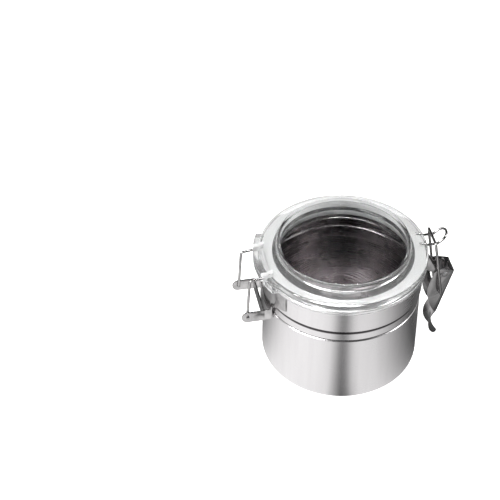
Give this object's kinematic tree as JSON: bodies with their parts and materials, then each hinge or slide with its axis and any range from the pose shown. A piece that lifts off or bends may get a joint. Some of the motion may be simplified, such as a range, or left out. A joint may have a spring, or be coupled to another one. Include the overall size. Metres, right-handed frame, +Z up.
{
  "type": "food canister",
  "caption": "Round clamp-lid food canister: drawn steel pot, clear sealed lid on a wire hinge, and a toggle latch with a wire bail.",
  "frame": {"origin": "centre of the flat base ring, on the surface the canister stands on", "axes": "+Z up, +X towards the latch, -X towards the hinge, mirror plane at Y = 0"},
  "size_m": [0.1579, 0.12, 0.1049],
  "materials": {
    "pot_steel": "satin drawn stainless steel",
    "plate_steel": "pressed stainless sheet",
    "wire_steel": "bright drawn wire",
    "rivet_steel": "dull rivet head",
    "clear_lid": "clear moulded acrylic",
    "seal_silicone": "translucent silicone"
  },
  "bodies": {
    "canister": {"canister_body": "pot_steel", "hinge_saddle": "plate_steel", "hinge_yoke": "plate_steel", "latch_saddle": "plate_steel", "latch_bracket": "plate_steel", "lever_rivet": "rivet_steel"},
    "hinge_wire": {"hinge_wire": "wire_steel"},
    "lid": {"lid": "clear_lid", "lid_gasket": "seal_silicone", "catch_wire": "wire_steel"},
    "lever": {"latch_lever": "plate_steel"},
    "bail": {"latch_bail": "wire_steel"}
  },
  "joints": [
    {"name": "lid_open", "type": "hinge", "parent": "hinge_wire", "child": "lid", "pos_m": [-0.056, 0, 0.0934], "axis": [0, -1, 0], "range_deg": [0, 70]},
    {"name": "wire_swing", "type": "hinge", "parent": "canister", "child": "hinge_wire", "pos_m": [-0.072, 0, 0.0591], "axis": [0, -1, 0], "range_deg": [0, 35]},
    {"name": "lever_flip", "type": "hinge", "parent": "canister", "child": "lever", "pos_m": [0.0747, 0, 0.0662], "axis": [0, -1, 0], "range_deg": [0, 110]},
    {"name": "bail_swing", "type": "hinge", "parent": "lever", "child": "bail", "pos_m": [0.0724, 0, 0.0491], "axis": [0, -1, 0], "range_deg": [-77, 0]}
  ],
  "couplings": [
    {"joint": "wire_swing", "follows": "lid_open", "ratio": 0.5},
    {"joint": "bail_swing", "follows": "lever_flip", "ratio": -0.7}
  ]
}
